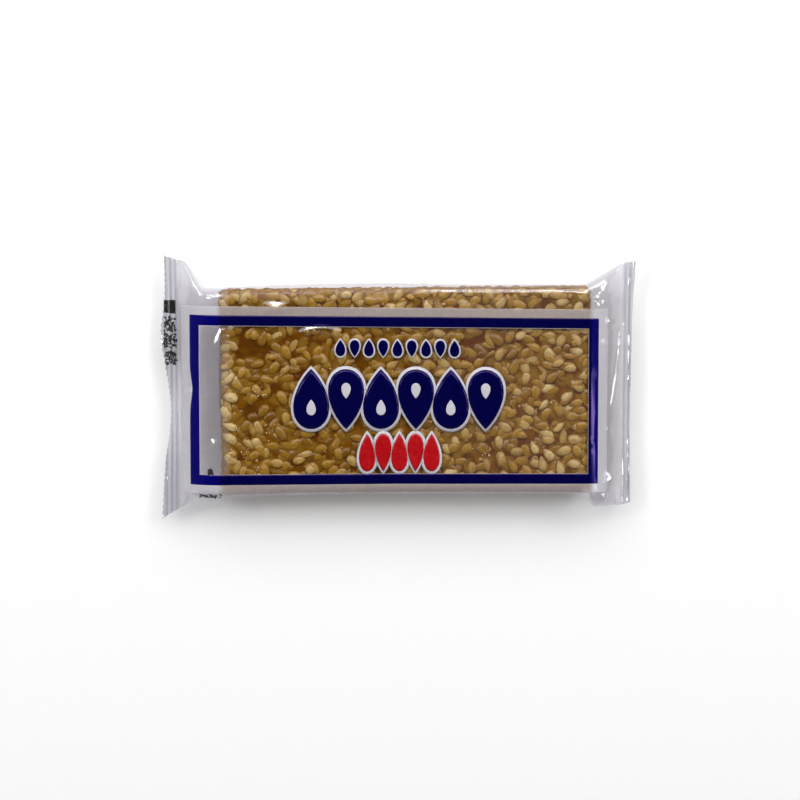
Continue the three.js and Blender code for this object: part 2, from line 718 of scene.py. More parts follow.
@dataclass
class FilmForm:
    """The form of the shut film: full over the slices, pinched into a seal at each end."""

    # The body
    half_width: float = 22.15
    thickness: float = 10.5
    underside: float = 0.42
    edge_radius: float = 2.0
    slices_left: float = -37.6
    slices_right: float = 39.4
    shoulder_power: float = 2.0
    left_sway: float = 1.0
    middle_left: float = -38.4
    middle_right: float = 38.6
    # The seals: where they start, how they are ribbed, how they droop and how they are cut
    left_root: float = -46.3
    right_root: float = 47.6
    seal_gap: float = 0.12
    seal_ease: tuple[float, float] = (0.8, 1.2)
    rib_height: float = 0.075
    rib_pitch: float = 1.15
    rib_rise: float = 8.0
    buckles: tuple[Wave, ...] = (Wave(0.35, math.inf, 1 / 7, 0.6), Wave(0.12, math.inf, 1 / 23, 1.1))
    left_droop: float = 2.6
    right_droop: float = 1.9
    droop_ease: float = 0.3
    left_edge: CutEdge = CutEdge(
        -49.45, 0.4, -0.55, (Ripple(0.4, -1.11, 0.22), Ripple(-0.2, 1.1, 0.28)), 0.1
    )
    right_edge: CutEdge = CutEdge(49.7, 0.35, 0.45, (), 0.06)
    # The corners, where the long sides swing out to the seals
    left_upper: Flare = Flare(-40.8, -45.8, 27.2, 28.2, 1.0)
    left_lower: Flare = Flare(-42.4, -46.3, 25.6, 28.2, 0.6)
    right_upper: Flare = Flare(39.6, 48.0, 26.7, 26.9, 0.1)
    right_lower: Flare = Flare(38.8, 42.0, 25.1, 24.6, 1.0)
    # The slow waves over the slices and the loose film above the frame
    crossed_waves: tuple[Wave, Wave] = (Wave(0.05, 4.1, 9.0, 0.4), Wave(1.0, -17.0, 5.3, 0.0))
    slanted_wave: Wave = Wave(0.04, 7.7, -4.3, 1.9)
    waves_to: float = 42.0
    waves_fade: float = 4.0
    waves_sink: float = 0.06
    loose_waves: tuple[Wave, ...] = (Wave(0.2, 1.9, math.inf, 0.7), Wave(0.2, 3.1, math.inf, 0.0))
    loose_from_y: float = 17.5
    loose_fade_y: float = 2.5
    loose_from: float = -37.0
    loose_fade: float = 3.0
    loose_to: float = 18.0
    loose_fade_to: float = 8.0
    # The gathers between the slices and the seals, the left seal's before the right one's
    crease_seed: int = 11
    slack_fullness: float = 0.25
    gather_reach: float = 22.0
    gather_counts: tuple[int, int] = (12, 4)
    gather_turn: float = 0.6
    gather_slant: float = 0.45
    gather_lengths: tuple[float, float] = (3.0, 8.0)
    gather_places: tuple[float, float] = (0.35, 1.0)
    gather_stray: float = 1.2
    gather_sharpness: float = 0.4
    gather_heights: tuple[tuple[float, float], ...] = ((0.05, 0.16), (0.06, 0.2))
    gather_widths: tuple[tuple[float, float], ...] = ((0.7, 1.9), (1.2, 2.4))
    peaks: tuple[Peak, ...] = (
        # The spot in the empty left end, and three that break up the line beside the slices
        Peak(-38.5, -11.5, 0.3, 1.2),
        Peak(-35.0, 12.6, 0.3, 0.95),
        Peak(-35.0, 11.2, 0.26, 0.8),
        Peak(-35.1, 9.9, 0.2, 0.62),
        # The crumples between the slices and the right seal
        Peak(44.5, 22.2, 0.32, 1.2),
        Peak(43.3, 20.8, 0.16, 1.2),
        Peak(45.1, 14.2, 0.48, 1.3),
        Peak(46.3, 14.3, 0.56, 1.0),
        Peak(43.6, 9.7, 0.18, 0.9),
        Peak(45.8, -19.2, 0.8, 2.1),
        Peak(44.0, -22.8, 0.28, 1.0),
        # The nicks along the right seal's root
        Peak(46.9, 25.4, 0.4, 0.5),
        Peak(47.2, 24.1, 0.45, 0.5),
        Peak(46.9, 22.8, 0.4, 0.5),
        Peak(47.3, 21.5, 0.45, 0.5),
        Peak(47.0, 18.6, 0.4, 0.5),
    )
    creases: tuple[Crease, ...] = (
        # The line that bends round the slices' far right corner
        Crease(((34.0, 20.8), (39.3, 20.2), (42.4, 19.2), (43.3, 17.9), (43.2, 16.0)), 0.12, 0.45, 4.0),
        # The streak beside the right seal, and the fold below it
        Crease(((47.7, 12.8), (47.4, 8.5), (46.9, 4.2), (46.1, -1.0), (45.2, -6.2)), 0.78, 0.8, 1.2, 0.34),
        Crease(((44.3, -7.0), (46.6, -15.0)), 0.3, 1.1, 2.0),
        # The line in the empty left end, and the folds beside the left seal
        Crease(((-38.5, 8.6), (-37.5, 10.8), (-36.4, 13.2)), 0.19, 0.8, 0.8, 0.29),
        Crease(((-46.6, 17.7), (-44.8, 3.8)), -0.35, 0.9),
        Crease(((-45.5, 0.2), (-41.5, 0.6)), -0.25, 0.8),
        Crease(((-44.6, -21.4), (-41.0, -23.4)), 0.45, 0.8),
        # The arc under the frame's upper line, the spot above it, and the left seal's upper fold
        Crease(
            (
                *((-21.6, 11.0), (-19.8, 12.1), (-18.2, 12.65), (-16.4, 12.9)),
                *((-14.6, 12.8), (-13.0, 12.35), (-10.9, 11.2)),
            ),
            0.38,
            0.9,
            2.0,
        ),
        Crease(((-27.4, 17.35), (-23.2, 17.35)), 0.39, 1.15, 1.5),
        Crease(((-46.5, 20.5), (-46.5, 27.4)), 0.35, 0.6),
    )
    front_gathers: list[Crease] = field(default_factory=list)
    back_gathers: list[Crease] = field(default_factory=list)

    def __post_init__(self) -> None:
        """Draw the creases of both faces."""
        draw = np.random.default_rng(self.crease_seed)
        self.front_gathers = [*self.gathers(draw, -1), *self.gathers(draw, 1)]
        self.back_gathers = [*self.gathers(draw, -1), *self.gathers(draw, 1)]

    @property
    def middle_height(self) -> float:
        """Give the height of the plane that the two films meet in."""
        return self.underside + self.thickness / 2

    def gathers(self, draw: np.random.Generator, end: int) -> Iterable[Crease]:
        """Draw the small creases between the slices' end and a seal.

        Args:
            draw: The seeded source of chance.
            end: -1 for the left seal and 1 for the right.

        Yields:
            One crease after another.
        """
        inner = self.slices_left if end < 0 else self.slices_right
        root = self.left_root if end < 0 else self.right_root
        side = 0 if end < 0 else 1
        for y in np.linspace(-self.gather_reach, self.gather_reach, self.gather_counts[side]):
            slant = np.clip(draw.normal(0.0, self.gather_turn), -self.gather_slant, self.gather_slant)
            length = draw.uniform(*self.gather_lengths)
            middle_x = lerp(inner, root, draw.uniform(*self.gather_places))
            middle_y = y + draw.uniform(-self.gather_stray, self.gather_stray)
            run_x, run_y = length / 2 * math.sin(slant), length / 2 * math.cos(slant)
            ends = (middle_x - run_x, middle_y - run_y), (middle_x + run_x, middle_y + run_y)
            height = draw.uniform(*self.gather_heights[side]) * draw.choice((-1, 1))
            width = draw.uniform(*self.gather_widths[side])
            yield Crease(ends, height, width, sharpness=self.gather_sharpness)

    def fullness(self, x: Array) -> Array:
        """Tell how full the pack is: 0 at a seal's root and 1 over the slices.

        Args:
            x: Places along the pack.

        Returns:
            The fullness at each place.
        """
        left = share((x - self.left_root) / (self.slices_left - self.left_root))
        right = share((self.right_root - x) / (self.right_root - self.slices_right))
        return 1 - (1 - np.minimum(left, right)) ** self.shoulder_power

    def sway(self, x: Array) -> Array:
        """Tell how far the body's section is moved along Y, at places along the pack."""
        return -self.left_sway * np.minimum(1, (np.minimum(x, 0) / self.middle_left) ** 2)

    def reaches(self, x: Array, out: Array) -> tuple[Array, Array]:
        """Find how far the film reaches to its upper and lower long sides.

        Args:
            x: Places along the pack.
            out: How far each is out along its seal.

        Returns:
            The reach towards +Y and the reach towards -Y.
        """
        reaches = []
        for left, right, side in (
            (self.left_upper, self.right_upper, 1),
            (self.left_lower, self.right_lower, -1),
        ):
            body = self.half_width + side * self.sway(x)
            reaches.append(np.where(x < 0, left.reach(x, out, body), right.reach(x, out, body)))
        return tuple(reaches)

    def half_height(self, x: Array) -> Array:
        """Find half of the section's height at places along the pack."""
        return lerp(self.seal_gap, self.thickness, self.fullness(x)) / 2

    def seal_relief(self, x: Array, v: Array, left_out: Array, right_out: Array) -> Array:
        """Find how the doubled film of the seals droops, buckles and is ribbed.

        Args:
            x: Places along the pack.
            v: Places across it, from -1 to 1.
            left_out: How far each is out along the left seal.
            right_out: How far each is out along the right seal.

        Returns:
            The lift at each place.
        """
        droop = left_out * self.left_droop + right_out * self.right_droop
        droop = droop * (1 - self.droop_ease * v * v)
        out = left_out + right_out
        ribs = self.rib_height * np.cos(2 * np.pi * x / self.rib_pitch) * share(out * self.rib_rise)
        buckles = sum(wave.at(x, v) for wave in self.buckles) * out**2
        return ribs + buckles - droop

    def waves(self, x: Array, y: Array) -> Array:
        """Find the slow waves of the film over the slices.

        Args:
            x: Places along the pack.
            y: Places across it.

        Returns:
            The lift at each place.
        """
        lift = math.prod(wave.at(x, y) for wave in self.crossed_waves) + self.slanted_wave.at(x, y)
        lift *= share((self.waves_to - x) / self.waves_fade)
        loose = share((y - self.loose_from_y) / self.loose_fade_y)
        loose *= share((self.loose_to - x) / self.loose_fade_to)
        loose *= share((x - self.loose_from) / self.loose_fade)
        lift += loose * sum(wave.at(x, y) for wave in self.loose_waves)
        return lift - self.waves_sink

    def gathered(self, x: Array, y: Array, creases: list[Crease]) -> Array:
        """Find how far one face's gathers lift its film between the slices and the seals."""
        slack = share((1 - self.fullness(x)) / self.slack_fullness)
        return sum(crease.lift(x, y) for crease in creases) * slack * self.between_seals(x)

    def between_seals(self, x: Array) -> Array:
        """Tell how free the film is: 1 between the seals' roots, fading to 0 in the seals.

        Args:
            x: Places along the pack.

        Returns:
            The freedom at each place.
        """
        into_seal, ease = self.seal_ease
        left = share((x - self.left_root + into_seal) / ease)
        right = share((self.right_root + into_seal - x) / ease)
        return left * right

    def front_relief(self, x: Array, y: Array) -> Array:
        """Find how far the window face's film is lifted by its gathers, folds and waves."""
        free = sum(fold.lift(x, y) for fold in (*self.peaks, *self.creases)) + self.waves(x, y)
        return self.gathered(x, y, self.front_gathers) + free * self.between_seals(x)

    def outs(self, x: Array, v: Array) -> tuple[Array, Array]:
        """Find how far places are out along each seal.

        Args:
            x: Places along the pack.
            v: Places across it, from -1 to 1.

        Returns:
            The share of the left seal and the share of the right.
        """
        left = share((self.left_root - x) / (self.left_root - self.left_edge.at(v)))
        right = share((x - self.right_root) / (self.right_edge.at(v) - self.right_root))
        return left, right

    def section(self, x: Array, y: Array, out: Array) -> Array:
        """Find how far the film stands off the plane that its two faces meet in.

        Args:
            x: Places along the pack.
            y: Places across it.
            out: How far each is out along its seal.

        Returns:
            The smooth film's distance from the plane, without folds.
        """
        upper, lower = self.reaches(x, out)
        half_width = (upper + lower) / 2
        across = np.abs(y - (upper - lower) / 2)
        half_height = self.half_height(x)
        radius = np.minimum(self.edge_radius, half_height)
        over = np.clip(across - (half_width - radius), 0, radius)
        return half_height - radius + np.sqrt(radius**2 - over**2)

    def front_height(self, x: Array, y: Array) -> Array:
        """Find the height of the window face's film.

        Args:
            x: Places along the pack.
            y: Places across it.

        Returns:
            The film's Z at each place.
        """
        upper, lower = self.reaches(x, np.zeros_like(x))
        half_width = (upper + lower) / 2
        v = np.clip((y - (upper - lower) / 2) / half_width, -1, 1)
        left_out, right_out = self.outs(x, v)
        section = self.section(x, y, left_out + right_out)
        seals = self.seal_relief(x, v, left_out, right_out)
        return self.middle_height + section + seals + self.front_relief(x, y)

    def pressed(self, points: Array, gap: float) -> Array:
        """Press points in where they would stick out of the film.

        Args:
            points: The points.
            gap: How far inside the film they stay.

        Returns:
            The points, inside the film.
        """
        x, y, z = points.T
        section = self.section(x, y, np.zeros_like(x)) - gap
        roof = section + np.minimum(self.front_relief(x, y), 0)
        stands = np.clip(z - self.middle_height, -section, roof)
        return np.column_stack([x, y, self.middle_height + stands])


# The wrapper


@dataclass
class Wrapper:
    """The clear film: a tube closed by a crimped seal at each end and a seam along its back."""

    form: FilmForm
    finish: ClearFilm = ClearFilm()
    # Columns in the left seal, the left end, the middle, the right end and the right seal
    stretch_columns: tuple[int, ...] = (40, 50, 90, 40, 26)
    rows: int = 168
    layers: int = 8
    fine_left: float = -34.0
    tooth_power: int = 8
    # The back seam
    seam_grid: tuple[int, int, int] = (60, 104, 1)
    seam_width: float = 11.0
    seam_middle: float = 0.7
    seam_thickness: float = 0.36
    seam_rib: float = 0.05
    # Where the film is scuffed, rubbed dull, lifted off the slices and crimped, with painted shade striped
    # along the crimps
    right_scuffs: float = 0.6
    scuffs_from: float = -5.0
    scuffs_run: float = 25.0
    edge_scuffs: float = 0.15
    edge_scuffs_from: float = 16.0
    edge_scuffs_run: float = 1.5
    dull_from_y: float = 18.8
    dull_run_y: float = 0.8
    dull_run_left: float = 1.5
    dull_to: float = 9.0
    dull_run_right: float = 6.0
    lifted_left: float = -35.3
    lifted_run: float = 0.3
    lifted_fade: float = 4.0
    lifted_milk: float = 2.5
    lifted_wave: Wave = Wave(0.25, math.inf, 3.1, 0.0)
    crimp_painted_shade: float = 0.65

    def film_points(self, box: Array) -> Array:
        """Move the points of a gridded box to their places on the film.

        Args:
            box: Points of a box whose sides run from -1 to 1.

        Returns:
            The film's points in millimetres.
        """
        form = self.form
        v, w = box[:, 1], box[:, 2]
        column = (box[:, 0] + 1) / 2 * sum(self.stretch_columns)
        stops = np.cumsum(self.stretch_columns)[:-1]
        x = np.interp(column, stops, [form.left_root, self.fine_left, form.middle_right, form.right_root])
        left_out = share(1 - column / self.stretch_columns[0])
        right_out = share((column - stops[-1]) / self.stretch_columns[-1])
        out = left_out + right_out
        for edge, edge_out in ((form.left_edge, left_out), (form.right_edge, right_out)):
            x = lerp(x, edge.at(v) + edge.notch(v) * edge_out**self.tooth_power, edge_out)

        upper, lower = form.reaches(x, out)
        half_width = (upper + lower) / 2
        half_height = form.half_height(x)
        radius = np.minimum(form.edge_radius, half_height)
        y, z = v * half_width, w * half_height
        core_y = np.clip(y, radius - half_width, half_width - radius)
        core_z = np.clip(z, radius - half_height, half_height - radius)
        away = np.stack([y - core_y, z - core_z], axis=1)
        away *= (radius / np.maximum(np.linalg.norm(away, axis=1), TINY))[:, None]
        y = core_y + away[:, 0] + (upper - lower) / 2
        z = core_z + away[:, 1]

        front = (w + 1) / 2
        lift = form.front_relief(x, y) * front + form.gathered(x, y, form.back_gathers) * (1 - front)
        lift += form.seal_relief(x, v, left_out, right_out)
        return np.stack([x, y, form.middle_height + z + lift], axis=1)

    def seam_points(self, box: Array) -> Array:
        """Move the points of a gridded box to their places on the back seam.

        Args:
            box: Points of a box whose sides run from -1 to 1.

        Returns:
            The seam's points in millimetres.
        """
        form = self.form
        x = lerp(form.middle_left, form.middle_right, (box[:, 0] + 1) / 2)
        y = self.seam_middle + box[:, 1] * self.seam_width / 2
        ribs = self.seam_rib * (1 + np.cos(2 * np.pi * y / form.rib_pitch)) / 2
        z = np.where(box[:, 2] < 0, ribs, self.seam_thickness)
        return np.stack([x, y, z], axis=1)

    def mark(self, film: bpy.types.Object) -> None:
        """Mark where the film is hazy, where it is sealed, with painted shade striped along its crimps,
        and where it is rubbed dull.

        Args:
            film: The film's piece.
        """
        form = self.form
        points = np.empty(len(film.data.vertices) * 3)
        film.data.vertices.foreach_get("co", points)
        x, y = points[::3] / MM, points[1::3] / MM
        crumpled = 1 - form.fullness(x)
        scuffed = self.right_scuffs * smoothstep(share((x - self.scuffs_from) / self.scuffs_run))
        rounded = self.edge_scuffs * share((y - self.edge_scuffs_from) / self.edge_scuffs_run)
        lifted = self.lifted_milk * share((self.lifted_left - x) / self.lifted_run)
        lifted *= share((x - form.left_root) / self.lifted_fade)
        lifted *= 1 - self.lifted_wave.height + self.lifted_wave.at(x, y)
        haze = np.maximum(crumpled, scuffed + rounded + lifted)
        sealed_with_shade = share(form.left_root - x) + share(x - form.right_root)
        # Painted shade: the seals' darker tint is striped along the crimps, full on each rib and weaker in
        # each groove
        sealed_with_shade *= lerp(1.0, (1 + np.cos(2 * np.pi * x / form.rib_pitch)) / 2, self.crimp_painted_shade)
        dull = share((y - self.dull_from_y) / self.dull_run_y)
        dull *= share((self.dull_to - x) / self.dull_run_right)
        dull *= share((x - form.slices_left) / self.dull_run_left)
        mark_points(film, FILM_MARKS, haze, sealed_with_shade, dull)

    def build(self) -> list[bpy.types.Object]:
        """Build and dress the film and its back seam.

        Returns:
            The pieces.
        """
        material = self.finish.build()
        film = gridded_box(sum(self.stretch_columns), self.rows, self.layers)
        film = stored("film", film, self.film_points)
        seam = stored("back_seam", gridded_box(*self.seam_grid), self.seam_points)
        self.mark(film)
        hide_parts(PACK_NODE)
        return [settle(film, material, Slot.FILM), settle(seam, material, Slot.FILM)]


# The print


@dataclass(frozen=True)
class Drop:
    """A printed drop, like a sesame seed: its place, its size and whether it points up."""

    x: float
    y: float
    width: float
    height: float
    points_up: bool
    point_margin: float = 1.6
    belly: float = -0.14

    @property
    def way(self) -> int:
        """Give 1 for a drop that points up and -1 for one that points down."""
        return 1 if self.points_up else -1

    def grown(self, margin: float) -> "Drop":
        """Give the same drop with a margin all round it, which is wider at its point."""
        tall = self.height + (1 + self.point_margin) * margin
        return Drop(self.x, self.y, self.width + 2 * margin, tall, self.points_up)

    def shrunk(self, part: float) -> "Drop":
        """Give a drop of a part of the size, in the fat part of this one."""
        y = self.y + self.belly * self.height * self.way
        return Drop(self.x, y, self.width * part, self.height * part, self.points_up)


@dataclass(frozen=True)
class DropRow:
    """A row of drops: how many, its middle, how far apart they are and each one's size."""

    count: int
    x: float
    y: float
    pitch: float
    width: float
    height: float

    def drops(self) -> list[Drop]:
        """Set out the drops, which point up and down by turns.

        Returns:
            The drops.
        """
        first = self.x - self.pitch * (self.count - 1) / 2
        places = [first + i * self.pitch for i in range(self.count)]
        return [Drop(x, self.y, self.width, self.height, i % 2 == 0) for i, x in enumerate(places)]


# A rectangle's left, right, bottom and top
Box = tuple[float, float, float, float]


@dataclass
class FilmPrint:
    """The print on the window face: a blue frame in a white border, with ornaments inside it."""

    form: FilmForm
    blue: FilmInk = FilmInk("Flexo ink, dark blue", "#03033a", "#060544", "#040462", sheen="#c0a0ff")
    red: FilmInk = FilmInk("Flexo ink, red", "#a90d14", "#b81c22")
    white: FilmInk = FilmInk("Flexo ink, white", "#c4c0c8", "#d0ccd4")
    veil: FilmInk = FilmInk("Flexo ink, thin white", "#bcb2b0", "#c6bcba", "#d8d6dc", 0.45)
    black: FilmInk = FilmInk("Flexo ink, black", "#141214", "#2c2a2c")
    layer_step: float = 0.06
    ink_thickness: float = 0.02
    # The frame, its border and its keyline, which are skewed as the film is
    frame_left: float = -43.95
    frame_right: float = 42.35
    frame_bottom: float = -19.85
    frame_top: float = 15.4
    frame_line: float = 2.1
    border_line: float = 1.95
    keyline: float = 0.12
    top_slope: float = -0.0086
    bottom_sag: float = 0.4
    longest_edge: float = 0.4
    # The rows of drops
    big_row: DropRow = DropRow(6, 0.2, -1.9, 7.35, 7.5, 12.6)
    small_row: DropRow = DropRow(5, 0.4, -13.2, 3.4, 3.4, 8.0)
    tiny_row: DropRow = DropRow(9, 0.0, 8.8, 3.0, 2.0, 3.4)
    drop_segments: int = 40
    drop_rings: int = 6
    drop_point: float = 0.75
    drop_belly: float = -0.3
    drop_widest: float = 0.8
    outline: float = 0.5
    tiny_outline: float = 0.3
    heart: float = 0.26
    # The specks and bars on the left seal and the specks in the lower left corner
    speckle_seed: int = 5
    speck_lengths: tuple[float, float] = (0.15, 0.55)
    speck_widths: tuple[float, float] = (0.1, 0.28)
    speck_raggedness: tuple[float, float] = (0.6, 1.3)
    speck_segments: int = 7
    dark_specks: int = 60
    dark_boxes: tuple[Box, ...] = (
        (-49.7, -47.0, 11.7, 14.8),
        (-49.7, -47.0, 8.2, 11.2),
        (-49.4, -47.0, 4.8, 7.6),
    )
    faint_specks: int = 26
    faint_boxes: tuple[Box, ...] = ((-39.9, -39.0, -17.6, -16.6), (-42.0, -37.0, -22.6, -21.9))
    register_bars: tuple[Box, ...] = ((-49.85, -48.7, 15.5, 18.2), (-48.6, -47.1, 15.4, 18.3))
    # Where the frame's left bar is pinched, and where no slice lies behind the print
    pinch: float = 0.55
    pinch_at: float = 0.0
    pinch_run: float = 3.0
    clear_left: float = -37.6
    clear_right: float = 41.0

    def lay(
        self, name: str, shape: bmesh.types.BMesh, ink: bpy.types.Material, layer: int
    ) -> bpy.types.Object:
        """Lay a flat shape on the window face, as thick as ink.

        Args:
            name: The piece's name.
            shape: The shape, flat in X and Y, in millimetres.
            ink: Its material.
            layer: How many layers of ink it lies above the film.

        Returns:
            The piece.
        """
        bmesh.ops.solidify(shape, geom=shape.faces[:], thickness=self.ink_thickness)
        # A drop that points down is mirrored, which turns it inside out
        bmesh.ops.recalc_face_normals(shape, faces=shape.faces[:])

        def onto_film(points: Array) -> Array:
            """Skew flat points as the film is skewed and lift them onto it.

            Args:
                points: The flat points.

            Returns:
                The points on the film.
            """
            x, y, z = points.T
            topness = share((y - self.frame_bottom) / (self.frame_top - self.frame_bottom))
            sag = self.bottom_sag * share(x / self.frame_left)
            y = y + lerp(-sag, self.top_slope * x, topness)
            outer = share((self.frame_left + self.frame_line - x) / self.frame_line)
            x = x + self.pinch * outer * bell((y - self.pinch_at) / self.pinch_run)
            height = self.form.front_height(x, y) + layer * self.layer_step
            return np.stack([x, y, z + height], axis=1)

        piece = stored(name, shape, onto_film)
        x = np.array([vert.co.x for vert in piece.data.vertices]) / MM
        clear = np.maximum(self.clear_left - x, x - self.clear_right)
        mark_points(piece, BACKLIT, share(clear + 0.5))
        return settle(piece, ink, Slot.PRINT)

    def ring(self, margin: float, line: float) -> bmesh.types.BMesh:
        """Make a rectangular ring around the frame's outer edge, finely divided.

        Args:
            margin: How far its outer edge lies outside the frame's.
            line: How wide its line is.

        Returns:
            The ring, flat in X and Y.
        """
        left, right = self.frame_left - margin, self.frame_right + margin
        bottom, top = self.frame_bottom - margin, self.frame_top + margin
        shape = bmesh.new()
        corners = [(left, bottom), (right, bottom), (right, top), (left, top)]
        face = shape.faces.new([shape.verts.new((x, y, 0.0)) for x, y in corners])
        face.normal_update()
        bmesh.ops.inset_individual(shape, faces=[face], thickness=line, use_even_offset=True)
        bmesh.ops.delete(shape, geom=[face], context="FACES")
        for _ in range(math.ceil(math.log2((right - left) / self.longest_edge))):
            long_edges = [edge for edge in shape.edges if edge.calc_length() > self.longest_edge]
            bmesh.ops.subdivide_edges(shape, edges=long_edges, cuts=1, use_grid_fill=True)
        return shape

    def bar(self, left: float, right: float, bottom: float, top: float) -> bmesh.types.BMesh:
        """Make a filled rectangle, finely divided.

        Args:
            left: Its left edge.
            right: Its right edge.
            bottom: Its bottom edge.
            top: Its top edge.

        Returns:
            The rectangle, flat in X and Y.
        """
        shape = bmesh.new()
        bmesh.ops.create_grid(
            shape,
            x_segments=math.ceil((right - left) / self.longest_edge),
            y_segments=math.ceil((top - bottom) / self.longest_edge),
            size=0.5,
        )
        bmesh.ops.scale(shape, vec=(right - left, top - bottom, 1.0), verts=shape.verts[:])
        bmesh.ops.translate(shape, vec=((left + right) / 2, (bottom + top) / 2, 0.0), verts=shape.verts[:])
        return shape

    def drops(self, drops: Iterable[Drop]) -> bmesh.types.BMesh:
        """Make flat drops.

        Args:
            drops: The drops.

        Returns:
            All of them, flat in X and Y.
        """
        disc = bmesh.new()
        segments = self.drop_segments
        bmesh.ops.create_circle(disc, cap_ends=True, cap_tris=True, segments=segments, radius=1.0)
        spokes = [edge for edge in disc.edges if not edge.is_boundary]
        bmesh.ops.subdivide_edges(disc, edges=spokes, cuts=self.drop_rings - 1, use_grid_fill=True)
        pattern = bpy.data.meshes.new("disc")
        disc.to_mesh(pattern)
        disc.free()
        shape = bmesh.new()
        for drop in drops:
            first = len(shape.verts)
            shape.from_mesh(pattern)
            shape.verts.ensure_lookup_table()
            for vert in shape.verts[first:]:
                self.shape_drop(vert, drop)
        bpy.data.meshes.remove(pattern)
        return shape

    def shape_drop(self, vert: bmesh.types.BMVert, drop: Drop) -> None:
        """Move a point of a disc of radius 1 to its place on a drop.

        Args:
            vert: The point.
            drop: The drop.
        """
        out = vert.co.xy.length
        turn = math.atan2(vert.co.x, vert.co.y)
        reach = math.sin(turn) * abs(math.sin(turn / 2)) ** self.drop_point
        side = reach / self.drop_widest * drop.width / 2
        rise = lerp(self.drop_belly, math.cos(turn), out) * drop.height / 2
        vert.co.x = drop.x + out * side
        vert.co.y = drop.y + rise * drop.way

    def speckles(self, boxes: Iterable[Box], count: int) -> bmesh.types.BMesh:
        """Scatter ragged specks of ink in boxes.

        Args:
            boxes: The boxes.
            count: How many specks in each.

        Returns:
            The specks, flat in X and Y.
        """
        draw = np.random.default_rng(self.speckle_seed)
        shape = bmesh.new()
        for left, right, bottom, top in boxes:
            for _ in range(count):
                x, y = draw.uniform(left, right), draw.uniform(bottom, top)
                long, thin = draw.uniform(*self.speck_lengths), draw.uniform(*self.speck_widths)
                turn = draw.uniform(0, math.pi)
                speck = bmesh.ops.create_circle(
                    shape, cap_ends=True, segments=self.speck_segments, radius=1.0
                )
                for vert in speck["verts"]:
                    ragged = draw.uniform(*self.speck_raggedness)
                    along, across = vert.co.x * long * ragged, vert.co.y * thin * ragged
                    vert.co.x = x + along * math.cos(turn) - across * math.sin(turn)
                    vert.co.y = y + along * math.sin(turn) + across * math.cos(turn)
        return shape

    def build(self) -> list[bpy.types.Object]:
        """Build and dress the print.

        Returns:
            The pieces.
        """
        blue, red, white = self.blue.build(), self.red.build(), self.white.build()
        veil, black = self.veil.build(), self.black.build()
        big, small, tiny = self.big_row.drops(), self.small_row.drops(), self.tiny_row.drops()
        outlines = self.drops(drop.grown(self.outline) for drop in big + small)
        tiny_outlines = self.drops(drop.grown(self.tiny_outline) for drop in tiny)
        hearts = self.drops(drop.shrunk(self.heart) for drop in big)
        rows = [
            ("border", self.ring(self.border_line, self.border_line), veil, 1),
            ("frame", self.ring(0.0, self.frame_line), blue, 1),
            ("keyline", self.ring(-self.frame_line, self.keyline), veil, 1),
            ("outlines", outlines, white, 1),
            ("tiny_outlines", tiny_outlines, white, 1),
            ("blue_drops", self.drops(big + tiny), blue, 2),
            ("red_drops", self.drops(small), red, 2),
            ("drop_hearts", hearts, white, 3),
            ("specks", self.speckles(self.dark_boxes, self.dark_specks), black, 2),
            ("faint_specks", self.speckles(self.faint_boxes, self.faint_specks), black, 2),
        ]
        for i, box in enumerate(self.register_bars, 1):
            rows.append((f"register_bar_{i}", self.bar(*box), black, 1))
        return [self.lay(f"print_{name}", shape, ink, layer) for name, shape, ink, layer in rows]


# The slices


@dataclass(frozen=True)
class SeedForm:
    """A form of seed: how much its tip is drawn in, how far it bends and how plump it is."""

    taper: float
    bend: float
    plumpness: float


@dataclass
class Seed:
    """A seed: its middle, where its tip points and its broad side faces, its size and its tone.

    The size is a share of a common seed's, and the tone runs from 0 for brown to 1 for pale.
    """

    middle: Array
    heading: Array
    facing: Array
    size: float
    tone: float = 0.0

    def axes(self) -> Array:
        """Square up the seed's directions.

        Returns:
            Unit vectors along the seed, out of its broad side and across it, as rows.
        """
        heading = self.heading / np.linalg.norm(self.heading)
        facing = self.facing - heading * (heading @ self.facing)
        facing = facing / np.linalg.norm(facing)
        return np.stack([heading, facing, np.cross(facing, heading)])


@dataclass(frozen=True)
class SeedLayer:
    """A layer of seeds: how close they lie, how far they stand out and how pale they are."""

    spacing: float
    stands: tuple[float, float]
    paleness: tuple[float, float]
    spread: float


# A scattered seed's place and its turn in radians
SeedSpot = tuple[float, float, float]


